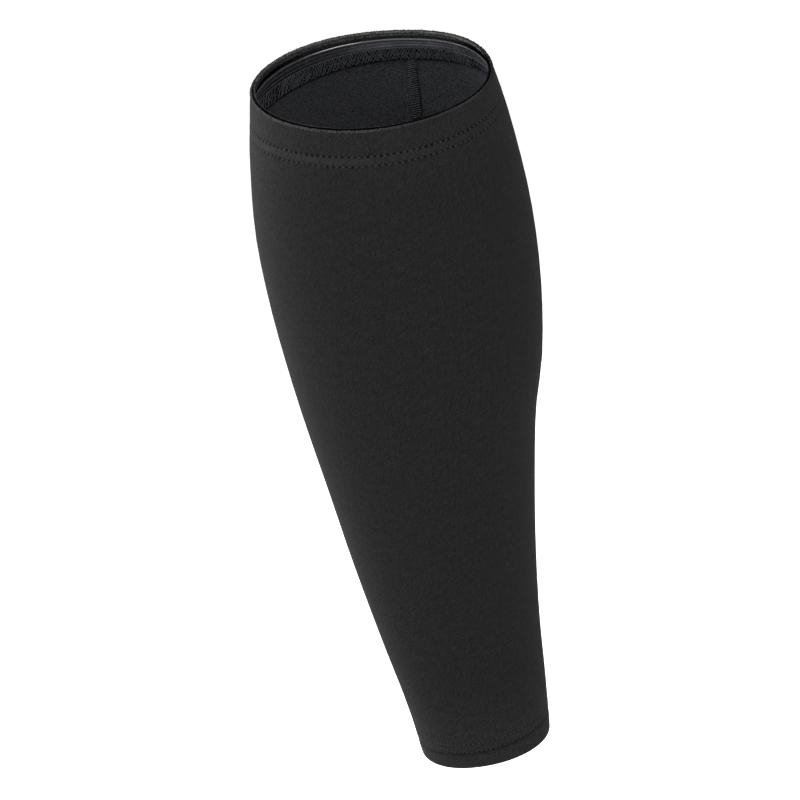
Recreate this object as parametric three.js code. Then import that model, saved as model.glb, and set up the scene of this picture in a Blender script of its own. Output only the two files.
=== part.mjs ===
// Calf compression sleeve for a right leg, in the form that it has when worn: a tube of stretch knit with a
// turned-in hem at each end, a silicone grip strip inside the knee end and a closing seam inside the back.
// Millimetres. +Z runs up the leg, +Y to the calf, -Y to the shin, +X to the inner side of the leg.
// The origin is the centre of the knee opening.

import * as THREE from "three";

// Driving sizes
const SLEEVE_LENGTH = 325;
const KNIT_THICKNESS = 1;
const LAYER_GAP = 0.3;
const GRIP_STRIP = { belowRim: 3.8, height: 4.9, thickness: 0.8 };

// Depth of each hem from its end of the sleeve, on the four sides of the leg.
const KNEE_HEM = { outer: 19.3, inner: 15.2, shin: 16.6, calf: 14.4 };
const ANKLE_HEM = { outer: 13.4, inner: 16.1, shin: 13.9, calf: 14.7 };

// The seam runs up the back at an angle from +X, and swings to the inner side of the leg towards the knee.
const BACK_SEAM = { width: 4.6, thickness: 1.1, angleDegrees: 95.7 };
const SEAM_SWING = { degrees: 6, from: 225, to: 335 };

// Leg sections, from the ankle end up. The other columns are half widths from the leg's axis to the outer
// face of the knit: outer to -X, inner to +X, shin to -Y and calf to +Y.
const SECTIONS = [
  { height: 0, outer: 27.5, inner: 32, shin: 33, calf: 36 },
  { height: 25, outer: 31, inner: 33.5, shin: 35, calf: 37.5 },
  { height: 60, outer: 38, inner: 35, shin: 39, calf: 41 },
  { height: 100, outer: 45, inner: 38.5, shin: 44.5, calf: 46 },
  { height: 140, outer: 51, inner: 43.5, shin: 49, calf: 52 },
  { height: 165, outer: 55, inner: 47.5, shin: 51.5, calf: 56 },
  { height: 190, outer: 58.5, inner: 53.5, shin: 53.5, calf: 60.5 },
  { height: 225, outer: 62, inner: 57.5, shin: 56, calf: 65 },
  { height: 260, outer: 63, inner: 58, shin: 57, calf: 66.2 },
  { height: 295, outer: 59.5, inner: 55, shin: 56, calf: 63.2 },
  { height: 312, outer: 56.5, inner: 52.5, shin: 55, calf: 60 },
  { height: SLEEVE_LENGTH, outer: 54, inner: 50, shin: 54, calf: 56.2 },
];

// Tilt of the section planes at the two ends, in degrees. Lean lifts the inner side, pitch the calf side.
const ANKLE_TILT = { lean: 1.5, pitch: -4.3 };
const KNEE_TILT = { lean: -4.3, pitch: 3.1 };

// Facets of the meshes
const RING_FACETS = 48;
const EDGE_FACETS = 4;
const BODY_ROWS = 24;
const HEM_ROWS = 2;
const GRIP_ROWS = 1;
const SEAM_ROWS = 32;

// Radius of the round ring that is laid on the leg. Any value clear of the layers' depths will do.
const ROUND_RADIUS = 50;

// Depths below the outer face of the knit
const HEM_DEPTH = KNIT_THICKNESS + LAYER_GAP;
const GRIP_DEPTH = HEM_DEPTH + KNIT_THICKNESS + LAYER_GAP;
const SEAM_DEPTH = KNIT_THICKNESS + LAYER_GAP;

// How fast a column of the section table changes with height at one of its rows.
function columnSlope(column, row) {
  const below = SECTIONS[Math.max(row - 1, 0)];
  const above = SECTIONS[Math.min(row + 1, SECTIONS.length - 1)];
  return (above[column] - below[column]) / (above.height - below.height);
}

// A column of the section table at any height, on a smooth curve through its rows.
function sectionSize(column, height) {
  const upper = SECTIONS.findIndex((row, index) => index > 0 && row.height >= height);
  const low = SECTIONS[upper - 1];
  const high = SECTIONS[upper];
  const span = high.height - low.height;
  const t = (height - low.height) / span;
  const rise = t * t * (3 - 2 * t);
  const startBend = columnSlope(column, upper - 1) * span * t * (1 - t) ** 2;
  const endBend = columnSlope(column, upper) * span * t ** 2 * (1 - t);
  return THREE.MathUtils.lerp(low[column], high[column], rise) + startBend - endBend;
}

// Rise of the section plane for each millimetre sideways, at a height.
function planeSlope(tilt, height) {
  const ankle = Math.tan(THREE.MathUtils.degToRad(ANKLE_TILT[tilt]));
  const knee = Math.tan(THREE.MathUtils.degToRad(KNEE_TILT[tilt]));
  return THREE.MathUtils.lerp(ankle, knee, height / SLEEVE_LENGTH);
}

// A point of the sleeve: round the leg by angle from +X, at a depth below the outer face, at a height from
// the ankle end. Each section is four quarter ellipses.
function legPoint(angle, depth, height) {
  const cosine = Math.cos(angle);
  const sine = Math.sin(angle);
  const halfX = sectionSize(cosine > 0 ? "inner" : "outer", height);
  const halfY = sectionSize(sine > 0 ? "calf" : "shin", height);
  const outward = new THREE.Vector2(halfY * cosine, halfX * sine).normalize();
  const x = halfX * cosine - depth * outward.x;
  const y = halfY * sine - depth * outward.y;
  const rise = x * planeSlope("lean", height) + y * planeSlope("pitch", height);
  return new THREE.Vector3(x, y, height - SLEEVE_LENGTH + rise);
}

// A size that changes smoothly round the leg between its values on the four sides.
function sizeBySide(sides, angle) {
  const across = Math.cos(angle) > 0 ? sides.inner : sides.outer;
  const along = Math.sin(angle) > 0 ? sides.calf : sides.shin;
  return across * Math.cos(angle) ** 2 + along * Math.sin(angle) ** 2;
}

// Heights on the two hems. A row is given at the height that it has on the inner side of the leg, and moves
// with the depth of its hem round the leg.
function kneeHemHeight(angle, height) {
  const stretch = sizeBySide(KNEE_HEM, angle) / KNEE_HEM.inner;
  return SLEEVE_LENGTH - (SLEEVE_LENGTH - height) * stretch;
}

function ankleHemHeight(angle, height) {
  return (height * sizeBySide(ANKLE_HEM, angle)) / ANKLE_HEM.inner;
}

// Angle of the seam's middle at a height.
function seamAngle(height) {
  const swing = SEAM_SWING.degrees * THREE.MathUtils.smoothstep(height, SEAM_SWING.from, SEAM_SWING.to);
  return THREE.MathUtils.degToRad(BACK_SEAM.angleDegrees - swing);
}

// Moves every point of a geometry to the place on the leg that place(point) gives.
function layOnLeg(geometry, place) {
  const position = geometry.getAttribute("position");
  const point = new THREE.Vector3();
  for (let i = 0; i < position.count; i += 1) {
    point.copy(place(point.fromBufferAttribute(position, i)));
    position.setXYZ(i, point.x, point.y, point.z);
  }
  geometry.computeVertexNormals();
  return geometry;
}

// The closed wall profile of one layer: up its outer face, over the round top edge, down its inner face and
// under the round bottom edge.
function layerProfile({ depth, thickness, bottom, top, rows }) {
  const edgeRadius = thickness / 2;
  const lowest = bottom + edgeRadius;
  const highest = top - edgeRadius;
  const profile = [];
  const add = (below, height) => profile.push(new THREE.Vector2(ROUND_RADIUS - below, height));
  for (let row = 0; row <= rows; row += 1) {
    add(depth, THREE.MathUtils.lerp(lowest, highest, row / rows));
  }
  for (let facet = 1; facet < EDGE_FACETS; facet += 1) {
    const turn = (Math.PI * facet) / EDGE_FACETS;
    add(depth + edgeRadius * (1 - Math.cos(turn)), highest + edgeRadius * Math.sin(turn));
  }
  for (let row = rows; row >= 0; row -= 1) {
    add(depth + thickness, THREE.MathUtils.lerp(lowest, highest, row / rows));
  }
  for (let facet = 1; facet < EDGE_FACETS; facet += 1) {
    const turn = (Math.PI * facet) / EDGE_FACETS;
    add(depth + edgeRadius * (1 + Math.cos(turn)), lowest - edgeRadius * Math.sin(turn));
  }
  profile.push(profile[0].clone());
  return profile;
}

// A layer that runs all the way round the leg, made as a round ring and laid on the leg. Its rows lie where
// heightAt(angle, height) puts them, or level with their sections.
function legRing(layer, heightAt = (angle, height) => height) {
  const ring = new THREE.LatheGeometry(layerProfile(layer), RING_FACETS);
  return layOnLeg(ring, ({ x, y, z }) => {
    const angle = Math.atan2(-z, x);
    return legPoint(angle, ROUND_RADIUS - Math.hypot(x, z), heightAt(angle, y));
  });
}

function sleeveBody() {
  return legRing({ depth: 0, thickness: KNIT_THICKNESS, bottom: 0, top: SLEEVE_LENGTH, rows: BODY_ROWS });
}

function kneeHem() {
  const bottom = SLEEVE_LENGTH - KNEE_HEM.inner;
  const layer = { depth: HEM_DEPTH, thickness: KNIT_THICKNESS, bottom, top: SLEEVE_LENGTH, rows: HEM_ROWS };
  return legRing(layer, kneeHemHeight);
}

function ankleHem() {
  const top = ANKLE_HEM.inner;
  const layer = { depth: HEM_DEPTH, thickness: KNIT_THICKNESS, bottom: 0, top, rows: HEM_ROWS };
  return legRing(layer, ankleHemHeight);
}

function gripStrip() {
  const top = SLEEVE_LENGTH - GRIP_STRIP.belowRim;
  const bottom = top - GRIP_STRIP.height;
  const layer = { depth: GRIP_DEPTH, thickness: GRIP_STRIP.thickness, bottom, top, rows: GRIP_ROWS };
  return legRing(layer, kneeHemHeight);
}

// The seam ridge: a long box with its width round the leg and its thickness inwards, from hem to hem.
function backSeam() {
  const bottom = sizeBySide(ANKLE_HEM, seamAngle(0)) + LAYER_GAP;
  const top = SLEEVE_LENGTH - sizeBySide(KNEE_HEM, seamAngle(SLEEVE_LENGTH)) - LAYER_GAP;
  const ridge = new THREE.BoxGeometry(BACK_SEAM.width, BACK_SEAM.thickness, top - bottom, 1, 1, SEAM_ROWS);
  ridge.translate(0, 0, (bottom + top) / 2);
  return layOnLeg(ridge, ({ x, y, z }) => {
    const angle = seamAngle(z) - x / sectionSize("outer", z);
    return legPoint(angle, SEAM_DEPTH + BACK_SEAM.thickness / 2 - y, z);
  });
}

const knit = new THREE.MeshStandardMaterial({ color: 0x2a2a2b, roughness: 0.9, metalness: 0 });
const turnedKnit = new THREE.MeshStandardMaterial({ color: 0x25272a, roughness: 0.9, metalness: 0 });
const silicone = new THREE.MeshStandardMaterial({ color: 0x3c3f47, roughness: 0.35, metalness: 0 });
const seamThread = new THREE.MeshStandardMaterial({ color: 0x22252a, roughness: 0.8, metalness: 0 });

const sleeve = new THREE.Group();

function addPiece(name, geometry, material) {
  const piece = new THREE.Mesh(geometry, material);
  piece.name = name;
  sleeve.add(piece);
}

addPiece("sleeve_body", sleeveBody(), knit);
addPiece("knee_hem", kneeHem(), turnedKnit);
addPiece("grip_strip", gripStrip(), silicone);
addPiece("ankle_hem", ankleHem(), turnedKnit);
addPiece("back_seam", backSeam(), seamThread);

export default sleeve;
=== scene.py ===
import math
from collections import namedtuple

import bmesh
import bpy
import numpy as np
from mathutils import Matrix, Vector


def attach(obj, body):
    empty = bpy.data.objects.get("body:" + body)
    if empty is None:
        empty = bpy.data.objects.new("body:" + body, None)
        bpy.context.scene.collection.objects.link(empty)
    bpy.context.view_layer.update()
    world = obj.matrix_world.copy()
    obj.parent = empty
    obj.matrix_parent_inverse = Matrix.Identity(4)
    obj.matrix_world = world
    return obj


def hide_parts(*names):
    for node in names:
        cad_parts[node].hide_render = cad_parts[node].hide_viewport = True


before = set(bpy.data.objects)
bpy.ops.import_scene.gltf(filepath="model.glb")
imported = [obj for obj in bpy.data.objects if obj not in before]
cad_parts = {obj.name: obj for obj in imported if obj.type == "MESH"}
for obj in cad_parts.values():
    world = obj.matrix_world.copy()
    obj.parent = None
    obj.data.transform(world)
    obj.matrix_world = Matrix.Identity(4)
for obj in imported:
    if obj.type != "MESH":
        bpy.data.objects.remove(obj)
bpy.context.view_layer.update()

MM = 0.001
BODY = "root"

# Sizes of the sleeve. One layer of knit is as thin as it shows at the rim.
SLEEVE_LENGTH = 325.0
LAYER = 0.8
HEM_DEPTH = LAYER + 0.12
HEM_BACK = HEM_DEPTH + LAYER
GRIP_BELOW_RIM = 3.8
GRIP_HEIGHT = 4.9
GRIP_THICKNESS = 0.5
SEAM_WIDTH = 4.6
SEAM_THICKNESS = 1.0
SEAM_STITCH = 1.1

# Leg sections from the ankle end up: half widths from the leg's axis to the outer face of the knit
LegSection = namedtuple("LegSection", "height outer inner shin calf")
LEG_SECTIONS = (
    LegSection(0, 27.5, 32, 33, 36),
    LegSection(25, 31, 33.5, 35, 37.5),
    LegSection(60, 38, 35, 39, 41),
    LegSection(100, 45, 38.5, 44.5, 46),
    LegSection(140, 51, 43.5, 49, 52),
    LegSection(165, 55, 47.5, 51.5, 56),
    LegSection(190, 58.5, 53.5, 53.5, 60.5),
    LegSection(225, 62, 57.5, 56, 65),
    LegSection(260, 63, 58, 57, 66.2),
    LegSection(295, 59.5, 55, 56, 63.2),
    LegSection(312, 56.5, 52.5, 55, 60),
    LegSection(SLEEVE_LENGTH, 54, 50, 54, 56.2),
)

# Tilt of the section planes at the two ends, in degrees: lean lifts the inner side, pitch the calf side
Tilt = namedtuple("Tilt", "lean pitch")
ANKLE_TILT = Tilt(1.5, -4.3)
KNEE_TILT = Tilt(-4.3, 3.1)

# Sizes on the four sides of the leg: how deep the hems are, how far the fold of the knee hem bulges inwards
# and stands above the rim, how much painted shade it gets beside the strip, how far below the rim that
# painted shade begins, and how much painted shade lies in the strip's valleys
Sides = namedtuple("Sides", "outer inner shin calf")
KNEE_HEM = Sides(19.3, 15.2, 16.6, 14.4)
ANKLE_HEM = Sides(13.4, 16.1, 13.9, 14.7)
FOLD_FULL = Sides(0.55, 0.2, 0.55, 0.55)
FOLD_LIFT = Sides(0.35, 0.1, 0.55, 0.0)
# Painted shade on the fold beside the strip, the depth where it begins, and painted shade in the strip's
# valleys
STRIP_GAP_PAINTED_SHADE = Sides(0.42, 1.0, 0.3, 0.1)
FOLD_UNSHADED_DEPTH = Sides(1.5, -0.9, 1.2, 1.4)
VALLEY_PAINTED_SHADE = Sides(0.62, 0.35, 0.5, 0.1)

# Swells round the leg, each at an angle in degrees, with how far it reaches to both sides: where the knee
# rim stands above its plane or dips below it, how wide the slit between the rim and the fold opens, how
# much of the fold's lip gets painted shade from the slit, how much painted shade darkens the whole fold,
# and how much painted light lightens the knit that stands up between the knee's needle rows
Swell = namedtuple("Swell", "size angle reach")
RIM_RISES = (Swell(0.65, -40, 70), Swell(1.05, 45, 45), Swell(0.2, 155, 40), Swell(-0.25, 98, 30))
RIM_SLIT = (Swell(0.42, -75, 110),)
# Painted shade in the slit, painted shade over the fold's ends, and painted light between the knee's needle
# rows
SLIT_PAINTED_SHADE = (Swell(0.45, -85, 75), Swell(1.2, -10, 65), Swell(0.4, 215, 45), Swell(0.35, 90, 80))
FOLD_SHADE = (Swell(0.3, 185, 65), Swell(0.25, 15, 50))
PILLOW_PAINTED_LIGHT = (Swell(0.21, -100, 80),)

# The back seam's angle round the leg, in degrees, and how far it swings aside towards the knee
SEAM_ANGLE = 95.7
SEAM_SWING = 6.0

# Camera: a distance from the middle of the sleeve, turned and raised like the photograph's
CAMERA_AZIMUTH = math.radians(17.0)
CAMERA_ELEVATION = math.radians(24.08)
CAMERA_ROLL = math.radians(9.13)
CAMERA_DISTANCE = 1.6
CAMERA_LENS = 161.1
AIM_ASIDE = -0.0137
AIM_UP = 0.0097

# The floor's distance below the sleeve and its half width, and the strength of the surroundings as light
FLOOR_DROP = 0.5
FLOOR_HALF = 6.0
WORLD_LIGHT = 0.55


# The leg's surface

def smooth_step(value, start, end):
    t = np.clip((value - start) / (end - start), 0, 1)
    return t * t * (3 - 2 * t)


def bump(value, centre, width):
    return np.exp(-((value - centre) / width) ** 2)


def section_size(column, height):
    """A column of the leg sections at any heights, on a smooth curve through its rows."""
    at = np.array([row.height for row in LEG_SECTIONS], float)
    size = np.array([getattr(row, column) for row in LEG_SECTIONS], float)
    slope = np.empty(len(at))
    slope[1:-1] = (size[2:] - size[:-2]) / (at[2:] - at[:-2])
    slope[0] = (size[1] - size[0]) / (at[1] - at[0])
    slope[-1] = (size[-1] - size[-2]) / (at[-1] - at[-2])
    upper = np.clip(np.searchsorted(at, height), 1, len(at) - 1)
    span = at[upper] - at[upper - 1]
    t = (height - at[upper - 1]) / span
    rise = t * t * (3 - 2 * t)
    straight = size[upper - 1] * (1 - rise) + size[upper] * rise
    return straight + span * t * (1 - t) * (slope[upper - 1] * (1 - t) - slope[upper] * t)


def plane_slope(tilt, height):
    """Rise of the section plane for each millimetre sideways, at any heights."""
    ankle = math.tan(math.radians(getattr(ANKLE_TILT, tilt)))
    knee = math.tan(math.radians(getattr(KNEE_TILT, tilt)))
    return ankle + (knee - ankle) * height / SLEEVE_LENGTH


def leg_points(angle, depth, height):
    """Points round the leg: angle from +X, depth below the outer face, height from the ankle end."""
    angle, depth, height = np.broadcast_arrays(angle, depth, height)
    cosine, sine = np.cos(angle), np.sin(angle)
    half_x = np.where(cosine > 0, section_size("inner", height), section_size("outer", height))
    half_y = np.where(sine > 0, section_size("calf", height), section_size("shin", height))
    steep = np.hypot(half_y * cosine, half_x * sine)
    x = half_x * cosine - depth * half_y * cosine / steep
    y = half_y * sine - depth * half_x * sine / steep
    z = height - SLEEVE_LENGTH + x * plane_slope("lean", height) + y * plane_slope("pitch", height)
    return np.stack([x, y, z], axis=-1)


def by_side(sides, angle):
    """A value that changes smoothly round the leg between its four sides."""
    cosine, sine = np.cos(angle), np.sin(angle)
    across = np.where(cosine > 0, sides.inner, sides.outer)
    along = np.where(sine > 0, sides.calf, sides.shin)
    return across * cosine ** 2 + along * sine ** 2


def swelling(swells, angle):
    """The sum of some swells round the leg."""
    total = 0 * angle
    for swell in swells:
        aside = (np.degrees(angle) - swell.angle + 180) % 360 - 180
        share = np.clip(aside / swell.reach, -1, 1)
        total = total + swell.size * np.cos(share * math.pi / 2) ** 2
    return total


def hem_height(angle, height):
    """Where a row lies that is drawn at an even height: the hems' depths change round the leg.

    The knee hem is drawn as deep as it is on the inner side, the ankle hem as it is on the outer side."""
    below_rim = SLEEVE_LENGTH - height
    knee_stretch = by_side(KNEE_HEM, angle) / KNEE_HEM.inner - 1
    knee = below_rim * knee_stretch - swelling(RIM_RISES, angle)
    ankle = (by_side(ANKLE_HEM, angle) - ANKLE_HEM.outer) * smooth_step(height, 0, 8)
    return height - knee * (1 - smooth_step(below_rim, 18, 60)) + ankle * (1 - smooth_step(height, 16, 55))


def fold_height(angle, height):
    """The same for the turned-in layer at the knee, whose fold stands above the rim."""
    lift = by_side(FOLD_LIFT, angle) * smooth_step(height, SLEEVE_LENGTH - 4, SLEEVE_LENGTH)
    return hem_height(angle, height) + lift


def seam_angle(height):
    swing = SEAM_SWING * smooth_step(height, 225, 335)
    return np.radians(SEAM_ANGLE - swing)


def even_angles(count, depth, height):
    """Angles that cut a ring round the leg, from the back on, into equal lengths."""
    fine = math.pi / 2 + np.linspace(0, 2 * math.pi, 4001)
    step = np.linalg.norm(np.diff(leg_points(fine, depth, height), axis=0), axis=1)
    along = np.concatenate([[0], np.cumsum(step)])
    return np.interp(np.arange(count) * along[-1] / count, along, fine)


# Meshes

def link(piece):
    bpy.context.scene.collection.objects.link(piece)
    return piece


def layer_rows(outer_heights, inner_heights, thickness, edge_steps=5):
    """The closed profile of a layer: how far across its thickness each row lies, and its height."""
    radius = thickness / 2
    turn = np.linspace(0, math.pi, edge_steps + 2)[1:-1]
    across_edge = (1 - np.cos(turn)) / 2
    top, bottom = outer_heights[-1], outer_heights[0]
    across = np.concatenate(
        [np.zeros(len(outer_heights)), across_edge, np.ones(len(inner_heights)), across_edge[::-1]]
    )
    height = np.concatenate(
        [outer_heights, top + radius * np.sin(turn), inner_heights[::-1], bottom - radius * np.sin(turn)]
    )
    return across, height


def leg_layer(
    name, angles, rows, outer_depth, inner_depth, materials, second=None, shade=None, follow=hem_height
):
    """A closed layer of knit or silicone laid round the leg, with its UV map in metres along the surface.

    outer_depth and inner_depth give the depth of its two faces at an angle and a height. second picks
    the faces of the second material by place across the layer and by height. shade gives the mask of
    painted shade and light."""
    across, height = (values[:, None] for values in rows)
    angle = angles[None, :]
    depth = outer_depth(angle, height) * (1 - across) + inner_depth(angle, height) * across
    points = leg_points(angle, depth, follow(angle, height))
    rings, columns = points.shape[:2]

    ring = np.arange(rings)[:, None]
    column = np.arange(columns)[None, :]
    next_ring = (ring + 1) % rings
    next_column = (column + 1) % columns
    corners = [(ring, column), (ring, next_column), (next_ring, next_column), (next_ring, column)]
    faces = np.stack([np.broadcast_to(r * columns + c, (rings, columns)) for r, c in corners], axis=-1)

    mesh = bpy.data.meshes.new(name)
    mesh.from_pydata((points.reshape(-1, 3) * MM).tolist(), [], faces.reshape(-1, 4).tolist())
    mesh.polygons.foreach_set("use_smooth", np.ones(len(mesh.polygons), bool))
    for material in materials:
        mesh.materials.append(material)
    if second:
        middle = [(values + np.roll(values, -1, axis=0)) / 2 for values in (across, height)]
        chosen = np.broadcast_to(second(*middle), (rings, columns))
        mesh.polygons.foreach_set("material_index", chosen.astype(np.int32).ravel())

    closed = np.concatenate([points, points[:, :1]], axis=1)
    closed = np.concatenate([closed, closed[:1]], axis=0)
    along = np.zeros((rings + 1, columns + 1))
    along[:, 1:] = np.cumsum(np.linalg.norm(np.diff(closed, axis=1), axis=2), axis=1)
    along -= along[:, [columns // 2]]
    up = np.zeros(rings + 1)
    up[1:] = np.cumsum(np.linalg.norm(np.diff(closed, axis=0), axis=2).mean(axis=1))
    surface = np.stack([along, np.broadcast_to(up[:, None], along.shape)], axis=-1) * MM
    loops = [surface[:-1, :-1], surface[:-1, 1:], surface[1:, 1:], surface[1:, :-1]]
    uv = mesh.uv_layers.new(name="surface")
    uv.data.foreach_set("uv", np.stack(loops, axis=2).astype(np.float32).ravel())

    if shade:
        values = np.broadcast_to(shade(angle, height, across), (rings, columns))
        attribute = mesh.attributes.new("shade", "FLOAT", "POINT")
        attribute.data.foreach_set("value", values.astype(np.float32).ravel())
    mesh.validate()
    return link(bpy.data.objects.new(name, mesh))


# Shader nodes

def shader_group(name, inputs, outputs):
    """An empty shader node group with named sockets."""
    group = bpy.data.node_groups.new(name, "ShaderNodeTree")
    for socket_name, kind, default in inputs:
        socket = group.interface.new_socket(socket_name, in_out="INPUT", socket_type=kind)
        if default is not None:
            socket.default_value = default
    for socket_name in outputs:
        group.interface.new_socket(socket_name, in_out="OUTPUT", socket_type="NodeSocketFloat")
    return group, group.nodes.new("NodeGroupInput"), group.nodes.new("NodeGroupOutput")


class Wiring:
    """Adds nodes to a shader tree and joins them."""

    def __init__(self, tree):
        self.tree = tree

    def put(self, socket, value):
        if isinstance(value, bpy.types.NodeSocket):
            self.tree.links.new(value, socket)
        else:
            socket.default_value = value

    def math(self, operation, *values):
        node = self.tree.nodes.new("ShaderNodeMath")
        node.operation = operation
        for socket, value in zip(node.inputs, values):
            self.put(socket, value)
        return node.outputs[0]

    def node(self, kind, **inputs):
        node = self.tree.nodes.new(kind)
        for name, value in inputs.items():
            self.put(node.inputs[name.replace("_", " ")], value)
        return node

    def ramp(self, value, low, high, to_low=0.0, to_high=1.0, soft=False):
        node = self.node("ShaderNodeMapRange", Value=value)
        node.interpolation_type = "SMOOTHSTEP" if soft else "LINEAR"
        limits = {"From Min": low, "From Max": high, "To Min": to_low, "To Max": to_high}
        for name, number in limits.items():
            self.put(node.inputs[name], number)
        return node.outputs["Result"]

    def mix(self, factor, first, second):
        node = self.tree.nodes.new("ShaderNodeMix")
        node.data_type = "RGBA"
        node.clamp_factor = False
        self.put(node.inputs["Factor"], factor)
        self.put(node.inputs[6], first)
        self.put(node.inputs[7], second)
        return node.outputs[2]

    def noise(self, place, scale, detail=2.0):
        """Noise around zero."""
        texture = self.node("ShaderNodeTexNoise", Vector=place, Scale=scale, Detail=detail)
        return self.math("SUBTRACT", texture.outputs[0], 0.5)

    def shaded(self, tone):
        """A tone with painted shade from the mesh's own shade mask, or painted light where the mask is below
        zero.
        """
        dark = self.node("ShaderNodeAttribute")
        dark.attribute_name = "shade"
        return self.math("MULTIPLY", tone, self.ramp(dark.outputs["Fac"], -0.6, 0.6, 1.97, 0.03))

    def group(self, group, **inputs):
        node = self.tree.nodes.new("ShaderNodeGroup")
        node.node_tree = group
        for name, value in inputs.items():
            self.put(node.inputs[name], value)
        return node.outputs


def knit_loops_group():
    """Columns of V-shaped loops: a height, and a mask of the gaps between the loops."""
    group, enter, leave = shader_group(
        "knit_loops",
        [
            ("Surface", "NodeSocketVector", None),
            ("Wale", "NodeSocketFloat", 0.6),
            ("Course", "NodeSocketFloat", 0.45),
        ],
        ["Height", "Gap"],
    )
    w = Wiring(group)
    parts = w.node("ShaderNodeSeparateXYZ", Vector=enter.outputs["Surface"])
    across = w.math("DIVIDE", w.math("DIVIDE", parts.outputs["X"], MM), enter.outputs["Wale"])
    along = w.math("DIVIDE", w.math("DIVIDE", parts.outputs["Y"], MM), enter.outputs["Course"])
    aside = w.math("ABSOLUTE", w.math("SUBTRACT", w.math("FRACT", across), 0.5))
    slant = w.math("ADD", along, w.math("MULTIPLY", aside, 1.3))
    legs = w.math("SINE", w.math("MULTIPLY", slant, 2 * math.pi))
    wall = w.math("SINE", w.math("MULTIPLY", aside, 2 * math.pi))
    height = w.math("MULTIPLY", w.ramp(legs, -1, 1, 0.45, 1), w.ramp(wall, 0, 0.8, 0.35, 1))
    group.links.new(height, leave.inputs["Height"])
    group.links.new(w.ramp(height, 0.45, 0.15), leave.inputs["Gap"])
    return group


# Streaks of a knit: their slant, and about how many there are to a metre across and along
STREAK_SLANT = -0.6
STREAKS_ACROSS = 1400.0
STREAKS_ALONG = 320.0


def knit_tone_group():
    """Uneven tone of a knit, around 1: slanted streaks as in a fine twill, grain and soft patches."""
    group, enter, leave = shader_group(
        "knit_tone",
        [
            ("Surface", "NodeSocketVector", None),
            ("Place", "NodeSocketVector", None),
            ("Streak", "NodeSocketFloat", 0.3),
            ("Grain", "NodeSocketFloat", 0.3),
            ("Fineness", "NodeSocketFloat", 900.0),
        ],
        ["Tone"],
    )
    w = Wiring(group)
    place = enter.outputs["Place"]
    parts = w.node("ShaderNodeSeparateXYZ", Vector=enter.outputs["Surface"])
    sway = w.math("MULTIPLY", w.noise(place, 14.0), 0.012)
    slant = w.math("ADD", sway, w.math("MULTIPLY", parts.outputs["Y"], STREAK_SLANT))
    across = w.math("MULTIPLY", w.math("ADD", parts.outputs["X"], slant), STREAKS_ACROSS)
    along = w.math("MULTIPLY", parts.outputs["Y"], STREAKS_ALONG)
    column = w.node("ShaderNodeCombineXYZ", X=across, Y=along)
    streak = w.math("MULTIPLY", w.noise(column.outputs[0], 1.0), enter.outputs["Streak"])
    grain = w.math("MULTIPLY", w.noise(place, enter.outputs["Fineness"]), enter.outputs["Grain"])
    patch = w.math("MULTIPLY", w.noise(place, 26.0, 3.0), 0.04)
    tone = w.math("ADD", w.math("ADD", 1.0, patch), w.math("ADD", streak, grain))
    group.links.new(tone, leave.inputs["Tone"])
    return group


def lint_group():
    """A mask of a few tiny specks of lint."""
    group, enter, leave = shader_group(
        "lint", [("Place", "NodeSocketVector", None), ("Share", "NodeSocketFloat", 0.04)], ["Speck"]
    )
    w = Wiring(group)
    cells = w.node("ShaderNodeTexVoronoi", Vector=enter.outputs["Place"], Scale=110.0)
    pick = w.node("ShaderNodeSeparateColor", Color=cells.outputs["Color"])
    chosen = w.math("LESS_THAN", pick.outputs[0], enter.outputs["Share"])
    near = w.ramp(cells.outputs["Distance"], 0.05, 0.02)
    group.links.new(w.math("MULTIPLY", chosen, near), leave.inputs["Speck"])
    return group


KNIT_LOOPS = knit_loops_group()
KNIT_TONE = knit_tone_group()
LINT = lint_group()
LINT_SHARE = 0.02
LINT_STRENGTH = 0.5
LINT_COLOUR = (0.2, 0.2, 0.2, 1)
BLACK = (0, 0, 0, 1)


def new_material(name):
    material = bpy.data.materials.new(name)
    material.use_nodes = True
    shader = material.node_tree.nodes["Principled BSDF"]
    return material, Wiring(material.node_tree), shader


def set_shader(shader, **values):
    for name, value in values.items():
        shader.inputs[name.replace("_", " ")].default_value = value


# Where the knit grows lighter towards its two ends, as heights below the knee rim in metres
Fade = namedtuple("Fade", "start end light")
FACE_FADES = (Fade(-0.275, -0.325, 0.32), Fade(-0.04, -0.005, 0.14))
FACE_COLOUR = (0.0136, 0.01365, 0.0136)

# Wales and courses are in millimetres. Gap is the dark between loops. A shaded knit takes the painted shade
# and light of the shade mask.
Knit = namedtuple("Knit", "name colour fades gap wale course relief streak grain fineness sheen shaded")
KNITS = (
    Knit("knit_face", FACE_COLOUR, FACE_FADES, 0.3, 0.62, 0.5, 0.3, 1.15, 2.0, 2200.0, 0.006, True),
    Knit("knit_back", (0.0417, 0.0432, 0.0473), (), 0.3, 0.7, 0.6, 0.5, 0.3, 4.6, 2400.0, 0.012, True),
    Knit("knit_turned", (0.012, 0.012, 0.013), (), 0.3, 0.62, 0.5, 0.4, 0.3, 1.5, 1700.0, 0.012, True),
    # The fold's knit is lighter than the knit's back: partly its own tone, partly painted light on the
    # fold's top
    Knit("knit_fold_tone_and_light", (0.074, 0.0742, 0.074), (), 0.4, 0.62, 0.5, 0.5, 0.3, 5.6, 1600.0, 0.012, True),
    Knit("knit_seam", (0.012, 0.013, 0.016), (), 0.4, 0.7, 0.6, 0.4, 0.2, 1.5, 1500.0, 0.012, False),
)


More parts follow.
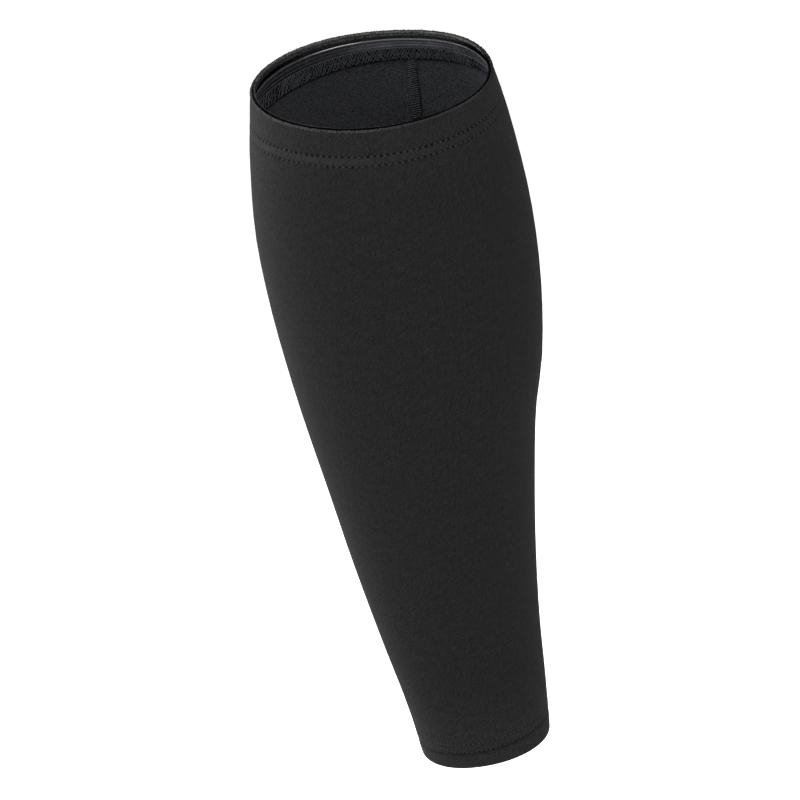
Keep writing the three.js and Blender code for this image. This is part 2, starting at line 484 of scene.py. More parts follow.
def knit_material(knit):
    """A fine-gauge stretch knit: V-shaped loops, uneven tone, lint, and the painted shade and light of the
    shade mask if it takes one.
    """
    material, w, shader = new_material(knit.name)
    uv = w.node("ShaderNodeUVMap")
    uv.uv_map = "surface"
    surface = uv.outputs[0]
    place = w.node("ShaderNodeTexCoord").outputs["Object"]
    loops = w.group(KNIT_LOOPS, Surface=surface, Wale=knit.wale, Course=knit.course)
    uneven = w.group(
        KNIT_TONE, Surface=surface, Place=place, Streak=knit.streak, Grain=knit.grain, Fineness=knit.fineness
    )
    shade = w.math("SUBTRACT", 1.0, w.math("MULTIPLY", loops["Gap"], knit.gap))
    tone = w.math("MULTIPLY", uneven["Tone"], shade)
    for fade in knit.fades:
        level = w.node("ShaderNodeSeparateXYZ", Vector=place).outputs["Z"]
        light = w.ramp(level, fade.start, fade.end, 1.0, 1.0 + fade.light, soft=True)
        tone = w.math("MULTIPLY", tone, light)
    if knit.shaded:
        tone = w.shaded(tone)
    base = w.mix(tone, BLACK, (*knit.colour, 1))
    speck = w.group(LINT, Place=place, Share=LINT_SHARE)["Speck"]
    base = w.mix(w.math("MULTIPLY", speck, LINT_STRENGTH), base, LINT_COLOUR)
    w.put(shader.inputs["Base Color"], base)
    relief = w.node("ShaderNodeBump", Strength=knit.relief, Distance=0.0002, Height=loops["Height"])
    w.put(shader.inputs["Normal"], relief.outputs["Normal"])
    set_shader(shader, Roughness=0.85, Sheen_Roughness=0.4)
    # The shade mask's painted shade also dulls the knit's gloss and sheen, and its painted light raises them
    w.put(shader.inputs["Specular IOR Level"], w.shaded(0.02) if knit.shaded else 0.02)
    w.put(shader.inputs["Sheen Weight"], w.shaded(knit.sheen) if knit.shaded else knit.sheen)
    return material


# From where to where, in metres to the inner side, a painted sheen on the grip strip grows and then fades
# again
PAINTED_SHEEN_RISE = (-0.035, -0.006)
PAINTED_SHEEN_FALL = (0.008, 0.03)
SILICONE_COLOUR = (0.1, 0.104, 0.117, 1)


def silicone_material():
    """Dark blue-grey silicone: glossy, with an uneven bloom, dust that it has picked up, a painted sheen
    across its back and painted shade in its valleys.
    """
    material, w, shader = new_material("grip_silicone")
    place = w.node("ShaderNodeTexCoord").outputs["Object"]
    bloom = w.math("ADD", 1.0, w.math("MULTIPLY", w.noise(place, 90.0, 4.0), 0.8))
    dust = w.math("ADD", 1.0, w.math("MULTIPLY", w.noise(place, 1500.0), 1.8))
    aside = w.node("ShaderNodeSeparateXYZ", Vector=place).outputs["X"]
    # Painted sheen: lighter across the back of the strip, darker towards its outer and inner sides
    sheen_up = w.ramp(aside, *PAINTED_SHEEN_RISE, 0.5, 1.0, soft=True)
    sheen_down = w.ramp(aside, *PAINTED_SHEEN_FALL, 1.0, 0.45, soft=True)
    tone = w.math("MULTIPLY", w.math("MULTIPLY", bloom, dust), w.math("MULTIPLY", sheen_up, sheen_down))
    # Painted shade in the strip's valleys
    tone = w.shaded(tone)
    w.put(shader.inputs["Base Color"], w.mix(tone, BLACK, SILICONE_COLOUR))
    w.put(shader.inputs["Roughness"], w.ramp(bloom, 0.7, 1.3, 0.2, 0.34))
    # The painted shade also dulls the gloss in the valleys
    w.put(shader.inputs["Specular IOR Level"], w.shaded(0.35))
    return material


# From where to where, in metres along an axis, painted shade darkens the loops of the rim, and the share
# of their light that they then show
PaintedShadeRamp = namedtuple("PaintedShadeRamp", "axis start end light")
RIM_LOOP_PAINTED_SHADE = (PaintedShadeRamp("X", 0.005, 0.035, 0.5), PaintedShadeRamp("Y", -0.025, 0.01, 0.3))


def thread_material(name, colour, gloss=0.1, painted_shade_ramps=()):
    """Textured polyester thread, with painted shade along any ramps it is given."""
    material, w, shader = new_material(name)
    place = w.node("ShaderNodeTexCoord").outputs["Object"]
    fibre = w.math("ADD", 1.0, w.math("MULTIPLY", w.noise(place, 2500.0), 0.7))
    for stretch in painted_shade_ramps:
        along = w.node("ShaderNodeSeparateXYZ", Vector=place).outputs[stretch.axis]
        light = w.ramp(along, stretch.start, stretch.end, 1.0, stretch.light, soft=True)
        fibre = w.math("MULTIPLY", fibre, light)
    w.put(shader.inputs["Base Color"], w.mix(fibre, BLACK, (*colour, 1)))
    set_shader(shader, Roughness=0.6, Specular_IOR_Level=gloss)
    return material


FACE_KNIT, BACK_KNIT, TURNED_KNIT, FOLD_KNIT_TONE_AND_LIGHT, SEAM_KNIT = [knit_material(knit) for knit in KNITS]
SILICONE = silicone_material()
# The needle thread is lighter than the black knit: painted highlights on the thread
NEEDLE_THREAD_PAINTED_HIGHLIGHT = thread_material("needle_thread_painted_highlight", (0.038, 0.038, 0.038), 0.05)
LOOPER_THREAD = thread_material("looper_thread", (0.063, 0.0665, 0.079))
BINDING_THREAD = thread_material("binding_thread", (0.085, 0.084, 0.08))
SEAM_THREAD = thread_material("seam_thread", (0.078, 0.083, 0.098))
# The rim's yarn is far lighter than the black knit: painted light on the lip of the rim
RIM_YARN_PAINTED_LIGHT = thread_material("rim_yarn_painted_light", (0.062, 0.062, 0.0615), 0.05, RIM_LOOP_PAINTED_SHADE)


# Needle rows. Each hole falls on a column of the shell's mesh: 7 to a knee stitch, 9 to an ankle stitch.

SHELL_COLUMNS = 882
SHELL_ANGLES = even_angles(SHELL_COLUMNS, 0, SLEEVE_LENGTH - 10.6)

# A row has its height, its columns to a stitch and the first of them, how open its holes are at the most and
# the least (how deep and how much painted shade), its groove's depth, drop and painted shade, and how high
# its thread stands and how far it reaches.
Row = namedtuple("Row", "height columns shift hole least_hole groove groove_drop groove_dark crest reach")
KNEE_ROWS = (
    Row(SLEEVE_LENGTH - 10.6, 7, 0, 1.0, 0.5, 0.1, 0.0, 0.02, 0.12, 0.5),
    Row(SLEEVE_LENGTH - 14.5, 7, 3, 0.7, 0.3, 0.1, 0.0, 0.02, 0.12, 0.42),
)
ANKLE_ROWS = (
    Row(12.5, 9, 0, 0.35, 0.12, 0.12, 0.0, 0.03, 0.24, 0.5),
    Row(8.2, 9, 4, 0.4, 0.15, 0.26, 0.9, 0.2, 0.28, 0.55),
)
HEM_EDGE = SLEEVE_LENGTH - KNEE_HEM.inner
HOLE_DEPTH = 0.42
HOLE_RADIUS = 0.43
GROOVE_WIDTH = 0.75

# How far the knit stands out between two needle rows, below the knee rim and above the ankle end, how far it
# sinks inside along a needle row, and how dark the knee hem's shadow is
PILLOW_RISE = 0.06
KNEE_FULL = 0.1
ANKLE_FULL = 0.12
STITCH_SINK = 0.12
HEM_SHADOW = 0.5


def hole_angles(row):
    return SHELL_ANGLES[row.shift::row.columns]


def hole_strengths(row):
    """How open each needle hole of a row is: the same draw on every run."""
    draw = np.random.default_rng(int(row.height * 10)).random(len(hole_angles(row)))
    return row.least_hole + (row.hole - row.least_hole) * draw


def between(angles):
    """Angles half way between neighbours on a ring."""
    following = np.roll(angles, -1)
    return angles + (following - angles) % (2 * math.pi) / 2


def hole_mask(angle, height):
    """1 in the middle of each needle hole, falling to 0 outside it."""
    mask = np.zeros(np.broadcast_shapes(np.shape(angle), np.shape(height)))
    for row in KNEE_ROWS + ANKLE_ROWS:
        near = np.abs(height[:, 0] - row.height) < 4 * HOLE_RADIUS
        holes = leg_points(hole_angles(row), 0, row.height)
        points = leg_points(angle[0], 0, row.height)
        distance = np.linalg.norm(points[:, None] - holes[None], axis=2)
        aside = distance.min(axis=1)
        strength = hole_strengths(row)[distance.argmin(axis=1)]
        away = np.hypot(aside[None, :], height[near] - row.height)
        mask[near] += strength * np.exp(-(away / HOLE_RADIUS) ** 2)
    return np.minimum(mask, 1)


def face_shade(angle, height, across):
    """Painted shade in the needle holes and grooves on the outer face, with a band of painted light between
    the knee's needle rows.

    On the inner face it is the painted shadow below the knee hem."""
    mask = hole_mask(angle, height)
    for row in KNEE_ROWS + ANKLE_ROWS:
        mask = mask + row.groove_dark * bump(height, row.height - row.groove_drop, GROOVE_WIDTH)
    high, low = (row.height for row in KNEE_ROWS)
    pillow = smooth_step(height, high - 0.1, high - 0.7) * smooth_step(height, low - 0.2, low + 1.6)
    mask = mask - swelling(PILLOW_PAINTED_LIGHT, angle) * pillow
    return mask * (1 - across) + HEM_SHADOW * across * bump(height, HEM_EDGE - 0.5, 0.45)


def face_depth(angle, height):
    """Relief of the outer face: grooves and holes along the needle rows, fuller hems beside them."""
    depth = HOLE_DEPTH * hole_mask(angle, height)
    for row in KNEE_ROWS + ANKLE_ROWS:
        depth = depth + row.groove * bump(height, row.height - row.groove_drop, GROOVE_WIDTH)
    for high, low in (KNEE_ROWS, ANKLE_ROWS):
        depth = depth - PILLOW_RISE * bump(height, (low.height + high.height) / 2, 1.3)
    knee = KNEE_FULL * bump(height, SLEEVE_LENGTH - 5, 4)
    return depth - knee - ANKLE_FULL * bump(height, 4.0, 3.0)


def back_depth(angle, height):
    """The inner face of the shell."""
    return LAYER + 0 * angle + 0 * height


def sleeve_shell():
    lip = LAYER / 2
    needle = np.array([-1.5, -0.9, -0.5, -0.22, 0, 0.22, 0.5, 0.9, 1.5])
    stitched = np.concatenate([row.height + needle for row in KNEE_ROWS + ANKLE_ROWS])
    knee = SLEEVE_LENGTH - np.array([18.0, 7.8, 6.0, 4.2, 2.6, 1.3, lip])
    ankle = np.array([lip, 1.5, 3.0, 4.6, 5.9, 15.5])
    plain = np.linspace(20, SLEEVE_LENGTH - 22, 26)
    outside = np.unique(np.concatenate([stitched, knee, ankle, plain]))
    edge = HEM_EDGE + np.array([-1.4, -0.9, -0.45, 0.1])
    inside = np.concatenate([np.linspace(lip, HEM_EDGE - 5, 20), edge, [SLEEVE_LENGTH - lip]])
    rows = layer_rows(outside, inside, LAYER)

    def turned_in(across, height):
        return across > 0.5

    return leg_layer(
        "sleeve_shell",
        SHELL_ANGLES,
        rows,
        face_depth,
        back_depth,
        [FACE_KNIT, BACK_KNIT],
        turned_in,
        face_shade,
    )


# Hems and grip strip

PLAIN_ANGLES = SHELL_ANGLES[::2]

# Courses of the knit that show as sunken lines along the fold of the knee hem: how far below the rim, how
# deep they are and how much painted shade lies in them, and how much painted shade the hem gets under its
# looper net
FOLD_COURSES = (1.3, 2.4)
COURSE_DEPTH = 0.1
COURSE_PAINTED_SHADE = 0.16
NET_PAINTED_SHADE = 0.4

# The grip strip's bead and ribs: how far below its upper edge they run, and how high they stand
BEAD_BELOW = 0.65
BEAD_RISE = 0.45
RIBS_BELOW = (2.3, 3.8)
RIB_RISE = 0.16


def knee_hem():
    """The turned-in layer at the knee: a full fold at the rim, a step down to the strip, a stitched band."""
    lip = LAYER / 2
    stitched_band = np.linspace(HEM_EDGE + lip, SLEEVE_LENGTH - 5.1, 30)
    heights = np.concatenate([stitched_band, np.linspace(SLEEVE_LENGTH - 4.8, SLEEVE_LENGTH - lip, 24)])

    def outer_depth(angle, height):
        open_up = smooth_step(height, SLEEVE_LENGTH - 4, SLEEVE_LENGTH - 0.6)
        return HEM_DEPTH + swelling(RIM_SLIT, angle) * open_up

    def courses(below):
        return sum(bump(below, course, 0.3) for course in FOLD_COURSES)

    def inner_depth(angle, height):
        below = SLEEVE_LENGTH - height
        bulge = by_side(FOLD_FULL, angle) * smooth_step(below, 3.4, 2.2)
        fold = bulge - 0.15 * bump(below, 3.3, 0.4) - COURSE_DEPTH * courses(below)
        stitched = sum(-STITCH_SINK * bump(height, row.height, 0.5) for row in KNEE_ROWS)
        return HEM_BACK + fold + stitched

    # Above the strip the fold takes the lighter knit, which is partly painted light
    def in_fold(across, height):
        return height > SLEEVE_LENGTH - GRIP_BELOW_RIM + 0.4

    def slit_shade(angle, height, across):
        # Painted shade: in the slit under the fold's lip, over the fold's two ends, beside the strip, in the
        # sunken courses and under the looper net
        dark = swelling(SLIT_PAINTED_SHADE, angle)
        lip_dark = smooth_step(across, dark + 0.2, dark - 0.2)
        slit = smooth_step(height, SLEEVE_LENGTH - 5, SLEEVE_LENGTH - 3) * lip_dark
        inside = smooth_step(across, 0.5, 0.9)
        below = SLEEVE_LENGTH - height
        light = by_side(FOLD_UNSHADED_DEPTH, angle)
        on_fold = smooth_step(below, 6, 5)
        beside_strip = by_side(STRIP_GAP_PAINTED_SHADE, angle) * smooth_step(below, light, light + 1.2) * on_fold
        under_net = NET_PAINTED_SHADE * smooth_step(below, 8.5, 9.5)
        tips = swelling(FOLD_SHADE, angle) * on_fold
        return slit + tips + inside * (beside_strip + under_net + COURSE_PAINTED_SHADE * courses(below))

    rows = layer_rows(heights, heights, LAYER)
    return leg_layer(
        "knee_hem_facing",
        PLAIN_ANGLES,
        rows,
        outer_depth,
        inner_depth,
        [TURNED_KNIT, FOLD_KNIT_TONE_AND_LIGHT],
        in_fold,
        slit_shade,
        fold_height,
    )


def ankle_hem():
    """The turned-in layer at the ankle, with its stitched band."""
    lip = LAYER / 2
    heights = np.linspace(lip, ANKLE_HEM.outer - lip, 36)

    def outer_depth(angle, height):
        return HEM_DEPTH + 0.2 * smooth_step(height, 2.0, 0.0) + 0 * angle

    def inner_depth(angle, height):
        stitched = sum(-STITCH_SINK * bump(height, row.height, 0.5) for row in ANKLE_ROWS)
        return HEM_BACK + 0.25 * bump(height, 1.5, 2.0) + stitched + 0 * angle

    rows = layer_rows(heights, heights, LAYER)
    return leg_layer("ankle_hem_facing", PLAIN_ANGLES, rows, outer_depth, inner_depth, [TURNED_KNIT])


def grip_strip():
    """The silicone strip: a rounded bead along its upper edge, ribs along its face."""
    top = SLEEVE_LENGTH - GRIP_BELOW_RIM
    bottom = top - GRIP_HEIGHT
    edge = GRIP_THICKNESS / 2
    heights = np.linspace(bottom + edge, top - edge, 64)
    bead = top - BEAD_BELOW
    ribs = [top - below for below in RIBS_BELOW]

    def outer_depth(angle, height):
        return HEM_BACK - 0.05 + 0 * angle + 0 * height

    def inner_depth(angle, height):
        ridged = BEAD_RISE * bump(height, bead, 0.6) + sum(RIB_RISE * bump(height, rib, 0.4) for rib in ribs)
        return HEM_BACK + GRIP_THICKNESS - 0.2 + ridged + 0 * angle

    # Painted shade in the valleys between the strip's bead and ribs
    def valley_shade(angle, height, across):
        crests = bump(height, bead, 0.65) + sum(bump(height, rib, 0.42) for rib in ribs)
        return by_side(VALLEY_PAINTED_SHADE, angle) * np.clip(1 - crests, 0, 1)

    rows = layer_rows(heights, heights, GRIP_THICKNESS)
    return leg_layer(
        "grip_strip_silicone", PLAIN_ANGLES, rows, outer_depth, inner_depth, [SILICONE], shade=valley_shade
    )


# Back seam

def seam_ends():
    """Heights of the seam's ends, just clear of the two hems."""
    knee = SLEEVE_LENGTH - by_side(KNEE_HEM, seam_angle(SLEEVE_LENGTH))
    ankle = by_side(ANKLE_HEM, seam_angle(0))
    return float(ankle) + 0.2, float(knee) - 0.2


def back_seam():
    """The seam's ridge: both cut edges of the knit, rounded over and bound together."""
    heights = np.linspace(*seam_ends(), 260)[:, None]
    sides = 20
    turn = np.linspace(0, 2 * math.pi, sides, endpoint=False)[None, :]
    across = SEAM_WIDTH / 2 * np.sign(np.cos(turn)) * np.abs(np.cos(turn)) ** 0.7
    inwards = SEAM_THICKNESS / 2 * (1 - np.sign(np.sin(turn)) * np.abs(np.sin(turn)) ** 0.7)
    angle = seam_angle(heights) - across / section_size("outer", heights)
    points = leg_points(angle, LAYER - 0.05 + inwards, heights)
    rings = len(heights)
    faces = [tuple(reversed(range(sides))), tuple(range((rings - 1) * sides, rings * sides))]
    for low in range(0, (rings - 1) * sides, sides):
        for side in range(sides):
            beside = (side + 1) % sides
            faces.append((low + side, low + beside, low + sides + beside, low + sides + side))
    mesh = bpy.data.meshes.new("back_seam_ridge")
    mesh.from_pydata((points.reshape(-1, 3) * MM).tolist(), [], faces)
    mesh.polygons.foreach_set("use_smooth", np.ones(len(mesh.polygons), bool))
    mesh.materials.append(SEAM_KNIT)
    uv = mesh.uv_layers.new(name="surface")
    girth = 2 * (SEAM_WIDTH + SEAM_THICKNESS) / sides
    for loop in mesh.loops:
        ring, side = divmod(loop.vertex_index, sides)
        uv.data[loop.index].uv = (girth * side * MM, heights[ring, 0] * MM)
    shape = bmesh.new()
    shape.from_mesh(mesh)
    bmesh.ops.recalc_face_normals(shape, faces=shape.faces)
    shape.to_mesh(mesh)
    shape.free()
    return link(bpy.data.objects.new("back_seam_ridge", mesh))


# Threads, laid on points by Geometry Nodes

Strand = namedtuple("Strand", "start start_handle end_handle end radius")


def thread_tree():
    """One bent thread, placed on every point: X along the row, Y across it and Z out of the surface."""
    tree = bpy.data.node_groups.new("threads_on_points", "GeometryNodeTree")
    sockets = (
        ("Points", "NodeSocketGeometry"),
        ("Start", "NodeSocketVector"),
        ("Start Handle", "NodeSocketVector"),
        ("End Handle", "NodeSocketVector"),
        ("End", "NodeSocketVector"),
        ("Thread Radius", "NodeSocketFloat"),
        ("Steps", "NodeSocketInt"),
        ("Sides", "NodeSocketInt"),
        ("Least Scale", "NodeSocketVector"),
        ("Most Scale", "NodeSocketVector"),
        ("Seed", "NodeSocketInt"),
        ("Thread Material", "NodeSocketMaterial"),
    )
    for name, kind in sockets:
        tree.interface.new_socket(name, in_out="INPUT", socket_type=kind)
    tree.interface.new_socket("Threads", in_out="OUTPUT", socket_type="NodeSocketGeometry")
    add = tree.nodes.new
    join = tree.links.new
    enter = add("NodeGroupInput").outputs
    leave = add("NodeGroupOutput")

    path = add("GeometryNodeCurvePrimitiveBezierSegment")
    for name in ("Start", "Start Handle", "End Handle", "End"):
        join(enter[name], path.inputs[name])
    join(enter["Steps"], path.inputs["Resolution"])
    ring = add("GeometryNodeCurvePrimitiveCircle")
    join(enter["Sides"], ring.inputs["Resolution"])
    join(enter["Thread Radius"], ring.inputs["Radius"])
    tube = add("GeometryNodeCurveToMesh")
    tube.inputs["Fill Caps"].default_value = True
    join(path.outputs[0], tube.inputs["Curve"])
    join(ring.outputs[0], tube.inputs["Profile Curve"])
    smooth = add("GeometryNodeSetShadeSmooth")
    join(tube.outputs[0], smooth.inputs[0])

    turn = add("FunctionNodeAxesToRotation")
    turn.primary_axis = "Z"
    turn.secondary_axis = "X"
    for attribute, socket in (("stitch_out", "Primary Axis"), ("stitch_run", "Secondary Axis")):
        direction = add("GeometryNodeInputNamedAttribute")
        direction.data_type = "FLOAT_VECTOR"
        direction.inputs["Name"].default_value = attribute
        join(direction.outputs[0], turn.inputs[socket])
    size = add("FunctionNodeRandomValue")
    size.data_type = "FLOAT_VECTOR"
    join(enter["Least Scale"], size.inputs[0])
    join(enter["Most Scale"], size.inputs[1])
    join(enter["Seed"], size.inputs["Seed"])

    place = add("GeometryNodeInstanceOnPoints")
    join(enter["Points"], place.inputs["Points"])
    join(smooth.outputs[0], place.inputs["Instance"])
    join(turn.outputs[0], place.inputs["Rotation"])
    join(size.outputs[0], place.inputs["Scale"])
    real = add("GeometryNodeRealizeInstances")
    join(place.outputs[0], real.inputs[0])
    paint = add("GeometryNodeSetMaterial")
    join(real.outputs[0], paint.inputs["Geometry"])
    join(enter["Thread Material"], paint.inputs["Material"])
    join(paint.outputs[0], leave.inputs["Threads"])
    return tree


THREAD_TREE = thread_tree()
THREAD_INPUTS = {
    item.name: item.identifier
    for item in THREAD_TREE.interface.items_tree
    if item.in_out == "INPUT"
}


def stitch_points(angle, depth, height, inward=False, follow=hem_height):
    """A mesh of loose points on the leg, each with the directions out of the surface and along the row."""
    angle, depth, height = np.broadcast_arrays(angle, depth, height)
    turn, rise = 1e-3, 1e-2

    def place(angle, height):
        return leg_points(angle, depth, follow(angle, height))

    run = place(angle + turn, height) - place(angle - turn, height)
    up = place(angle, height) - place(angle, height - rise)
    sign = -1 if inward else 1
    mesh = bpy.data.meshes.new("stitch_points")
    mesh.from_pydata((place(angle, height) * MM).tolist(), [], [])
    for attribute_name, vector in (("stitch_out", np.cross(run, up)), ("stitch_run", run)):
        unit = sign * vector / np.linalg.norm(vector, axis=1, keepdims=True)
        attribute = mesh.attributes.new(attribute_name, "FLOAT_VECTOR", "POINT")
        attribute.data.foreach_set("vector", unit.astype(np.float32).ravel())
    return mesh


def lay_threads(name, layings, material, jitter=0.06, steps=7, sides=6):
    """Lays each strand on each of its points, and joins all of them in one mesh."""
    joined = bmesh.new()
    for seed, (points, strand) in enumerate(layings):
        holder = link(bpy.data.objects.new("thread_points", points))
        modifier = holder.modifiers.new("threads", "NODES")
        modifier.node_group = THREAD_TREE
        values = {
            "Start": [value * MM for value in strand.start],
            "Start Handle": [value * MM for value in strand.start_handle],
            "End Handle": [value * MM for value in strand.end_handle],
            "End": [value * MM for value in strand.end],
            "Thread Radius": strand.radius * MM,
            "Steps": steps,
            "Sides": sides,
            "Least Scale": [1.0, 1 - jitter, 1 - 2 * jitter],
            "Most Scale": [1.0, 1 + jitter, 1 + 2 * jitter],
            "Seed": seed,
            "Thread Material": material,
        }
        for input_name, value in values.items():
            modifier[THREAD_INPUTS[input_name]] = value
        bpy.context.view_layer.update()
        graph = bpy.context.evaluated_depsgraph_get()
        threads = bpy.data.meshes.new_from_object(holder.evaluated_get(graph))
        joined.from_mesh(threads)
        bpy.data.meshes.remove(threads)
        bpy.data.objects.remove(holder)
    mesh = bpy.data.meshes.new(name)
    joined.to_mesh(mesh)
    joined.free()
    mesh.materials.append(material)
    return link(bpy.data.objects.new(name, mesh))


def stitch_length(row):
    """Mean length of a row's stitches."""
    ring = leg_points(np.linspace(0, 2 * math.pi, 1001), 0, row.height)
    return np.linalg.norm(np.diff(ring, axis=0), axis=1).sum() * row.columns / SHELL_COLUMNS


def needle_stitches(name, rows):
    """The needle thread outside: from hole to hole, sunk in the knit, standing up where it comes out."""
    layings = []
    for row in rows:
        half = stitch_length(row) / 2 * row.reach
        strand = Strand(
            (-half, 0, -0.3),
            (-half * 0.6, 0, row.crest - 0.1),
            (half * 0.6, 0, row.crest + 0.1),
            (half, 0, -0.3),
            radius=0.17,
        )
        layings.append((stitch_points(between(hole_angles(row)), row.groove, row.height), strand))
    return lay_threads(name, layings, NEEDLE_THREAD_PAINTED_HIGHLIGHT)


# Cosines of the angles round the leg between which the looper nets are doubled
DOUBLED_NET = (-0.92, 0.6)


def looper_net(name, rows, depth, rise):
    """The looper threads on the inside of a hem: two rows of crossings between its needle rows.

    Round the shin and the calf there are two to a stitch, on the inner and outer sides one."""
    first, second = rows
    middle = (first.height + second.height) / 2 + rise
    reach = (first.height - second.height) / 4 + 0.55
    half = stitch_length(first) / 2
    doubled = between(hole_angles(first))
    least, most = DOUBLED_NET
    doubled = doubled[(np.cos(doubled) > least) & (np.cos(doubled) < most)]
    draw = np.random.default_rng(7)
    layings = []
    for row_height in (middle + reach * 0.9, middle - reach * 0.9):
        for angles in (hole_angles(first), doubled):
            for slope, lift in ((-1, 0.12), (1, 0.3)):
                strand = Strand(
                    (-half * 0.75, -slope * reach, 0.0),
                    (-half * 0.3, -slope * reach * 0.8, lift),
                    (half * 0.3, slope * reach * 0.8, lift),
                    (half * 0.75, slope * reach, 0.0),
                    radius=0.17,
                )
                uneven = angles + draw.normal(0, 0.004, len(angles))
                level = row_height + draw.normal(0, 0.15, len(angles))
                layings.append((stitch_points(uneven, depth, level, inward=True), strand))
    return lay_threads(name, layings, LOOPER_THREAD, jitter=0.15, steps=6, sides=5)


def strip_binding():
    """A line of stitches along the lower edge of the grip strip."""
    height = SLEEVE_LENGTH - GRIP_BELOW_RIM - GRIP_HEIGHT - 0.25
    half = stitch_length(KNEE_ROWS[0]) / 2
    strand = Strand(
        (-half, 0, 0.0), (-half * 0.5, 0, 0.3), (half * 0.5, 0, 0.3), (half, 0, 0.0), radius=0.15
    )
    points = stitch_points(hole_angles(KNEE_ROWS[0]), HEM_BACK, height, inward=True)
    return lay_threads("grip_strip_binding", [(points, strand)], BINDING_THREAD)


def rim_loops():
    """Loops of the knit where it turns over the knee rim, on the shell's lip, in a yarn with painted light.
    """
    over = Strand((0, -0.35, 0.42), (0, 0.35, 0.48), (0, 0.6, 0.2), (0, 0.4, -0.2), radius=0.12)
    draw = np.random.default_rng(11)
    angles = SHELL_ANGLES + draw.uniform(-0.003, 0.003, SHELL_COLUMNS)
    heights = SLEEVE_LENGTH - LAYER / 2 + draw.normal(0, 0.07, SHELL_COLUMNS)
    points = stitch_points(angles, LAYER / 2, heights)
    return lay_threads("knee_rim_loops", [(points, over)], RIM_YARN_PAINTED_LIGHT, jitter=0.2, steps=6, sides=5)


# Slants of the seam's stitches, in millimetres of rise from their middle to an end
RUNG_SLANTS = (-0.15, 0.1, 0.3)


def seam_threads():
    """Overlock threads over the seam's ridge: two columns of short stitches, one half a stitch higher."""
    low, high = seam_ends()
    draw = np.random.default_rng(5)
    even = np.arange(low + 0.8, high - 1.2, SEAM_STITCH)
    heights = even + draw.normal(0, 0.09, len(even))
    slants = draw.integers(0, len(RUNG_SLANTS), len(even))
    half = SEAM_WIDTH / 2
    crest = SEAM_THICKNESS
    layings = []
    for choice, slant in enumerate(RUNG_SLANTS):
        caught = Strand(
            (-half * 0.95, -slant, crest * 0.4),
            (-half * 0.8, -0.05, crest + 0.35),
            (-half * 0.2, 0.05, crest + 0.35),
            (-half * 0.05, slant, crest - 0.25),
            radius=0.18,
        )
        crossing = Strand(
            (-half * 0.1, -slant, crest - 0.25),
            (half * 0.2, -0.05, crest + 0.3),
            (half * 0.8, 0.05, crest + 0.25),
            (half + 0.1, slant, 0.2),
            radius=0.14,
        )
        at = heights[slants == choice]
        for strand, level in ((caught, at), (crossing, at + SEAM_STITCH / 2)):
            layings.append((stitch_points(seam_angle(level), LAYER, level, inward=True), strand))
    return lay_threads("back_seam_threads", layings, SEAM_THREAD, jitter=0.05, steps=7, sides=5)


# Pieces

shell = sleeve_shell()
knee_facing = knee_hem()
ankle_facing = ankle_hem()
strip = grip_strip()
seam = back_seam()
knee_needle = needle_stitches("knee_needle_stitches", KNEE_ROWS)
ankle_needle = needle_stitches("ankle_needle_stitches", ANKLE_ROWS)
knee_looper = looper_net("knee_looper_net", KNEE_ROWS, HEM_BACK, 0.5)
ankle_looper = looper_net("ankle_looper_net", ANKLE_ROWS, HEM_BACK, -0.2)
binding = strip_binding()
loops = rim_loops()
overlock = seam_threads()

for piece, node in (
    (shell, "sleeve_body"),
    (knee_facing, "knee_hem"),
    (ankle_facing, "ankle_hem"),
    (strip, "grip_strip"),
    (seam, "back_seam"),
):
    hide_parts(node)

trim = [knee_needle, ankle_needle, knee_looper, ankle_looper, binding, overlock]
for piece in (shell, knee_facing, ankle_facing, strip, seam, loops, *trim):
    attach(piece, BODY)


# Camera, light and floor

def direction(azimuth, elevation):
    """From the sleeve to a place round it: azimuth from the front, elevation above the level."""
    level = math.cos(elevation)
    return Vector((math.sin(azimuth) * level, -math.cos(azimuth) * level, math.sin(elevation)))


def viewing_axes():
    """Right, up and back of the camera, rolled like the photograph."""
    back = direction(CAMERA_AZIMUTH, CAMERA_ELEVATION)
    right = Vector((math.cos(CAMERA_AZIMUTH), math.sin(CAMERA_AZIMUTH), 0))
    roll = Matrix.Rotation(-CAMERA_ROLL, 3, back)
    return roll @ right, roll @ back.cross(right), back


def place_camera():
    right, up, back = viewing_axes()
    middle = Vector((0, 0, -SLEEVE_LENGTH / 2 * MM))
    eye = middle + back * CAMERA_DISTANCE
    aim = middle + right * AIM_ASIDE + up * AIM_UP
    back = (eye - aim).normalized()
    right = up.cross(back).normalized()
    up = back.cross(right)
    camera = link(bpy.data.objects.new("camera", bpy.data.cameras.new("camera")))
    camera.data.lens = CAMERA_LENS
    camera.data.sensor_width = 36
    camera.data.clip_end = 100
    turn = Matrix((right, up, back)).transposed().to_4x4()
    camera.matrix_world = Matrix.Translation(eye) @ turn
    bpy.context.scene.camera = camera


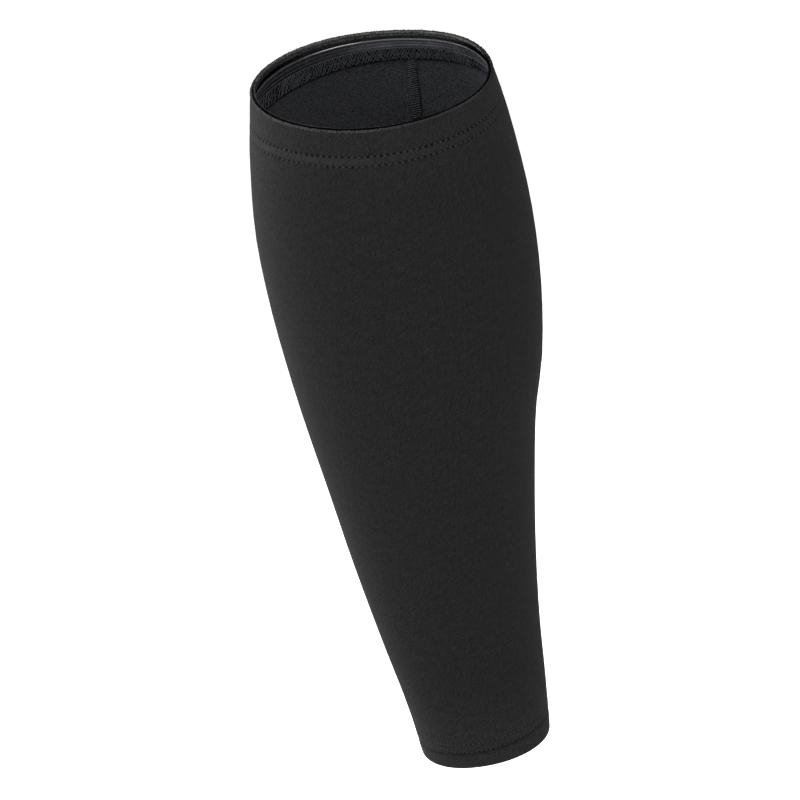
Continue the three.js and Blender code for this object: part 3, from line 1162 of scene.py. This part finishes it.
Softbox = namedtuple("Softbox", "name azimuth elevation distance width height watts diffuse gloss")
SOFTBOXES = (
    Softbox("left_back_softbox", -130, 14, 1.5, 0.5, 1.6, 28, True, False),
    Softbox("left_softbox", -93, 18, 1.5, 0.5, 1.4, 18.5, True, False),
    Softbox("left_near_softbox", -102, 28, 0.3, 0.1, 0.1, 0.9, True, False),
    Softbox("front_left_softbox", -45, 45, 1.5, 0.8, 0.8, 12, True, False),
    Softbox("front_right_softbox", 52, 42, 1.5, 0.8, 0.8, 7.6, True, False),
    Softbox("front_glint", 58, 42, 1.5, 0.9, 0.5, 75, False, True),
    Softbox("side_glint", -93, 36, 1.5, 0.15, 0.4, 9, False, True),
)


def place_lights():
    middle = Vector((0, 0, -SLEEVE_LENGTH / 2 * MM))
    for box in SOFTBOXES:
        away = direction(math.radians(box.azimuth), math.radians(box.elevation))
        data = bpy.data.lights.new(box.name, "AREA")
        data.shape = "RECTANGLE"
        data.size = box.width
        data.size_y = box.height
        data.energy = box.watts
        light = link(bpy.data.objects.new(box.name, data))
        light.location = middle + away * box.distance
        light.rotation_mode = "QUATERNION"
        light.rotation_quaternion = away.to_track_quat("Z", "Y")
        light.visible_camera = False
        light.visible_diffuse = box.diffuse
        light.visible_glossy = box.gloss


def place_world():
    """Even white surroundings: full white behind the object, softer as light."""
    world = bpy.data.worlds.new("studio")
    bpy.context.scene.world = world
    world.use_nodes = True
    w = Wiring(world.node_tree)
    seen = w.node("ShaderNodeLightPath").outputs["Is Camera Ray"]
    background = world.node_tree.nodes["Background"]
    background.inputs["Color"].default_value = (1, 1, 1, 1)
    w.put(background.inputs["Strength"], w.ramp(seen, 0, 1, WORLD_LIGHT, 1.0))


def place_floor():
    """A pale floor well below the sleeve, which is held up."""
    level = -SLEEVE_LENGTH * MM - FLOOR_DROP
    signs = ((-1, -1), (1, -1), (1, 1), (-1, 1))
    corners = [(x * FLOOR_HALF, y * FLOOR_HALF, level) for x, y in signs]
    mesh = bpy.data.meshes.new("floor")
    mesh.from_pydata(corners, [], [(0, 1, 2, 3)])
    material, _, shader = new_material("pale_floor")
    set_shader(shader, Base_Color=(0.9, 0.9, 0.9, 1), Roughness=0.9, Specular_IOR_Level=0.0)
    set_shader(shader, Emission_Color=(1, 1, 1, 1), Emission_Strength=0.5)
    mesh.materials.append(material)
    link(bpy.data.objects.new("floor", mesh))


place_camera()
place_lights()
place_world()
place_floor()
bpy.context.scene.view_settings.view_transform = "Standard"
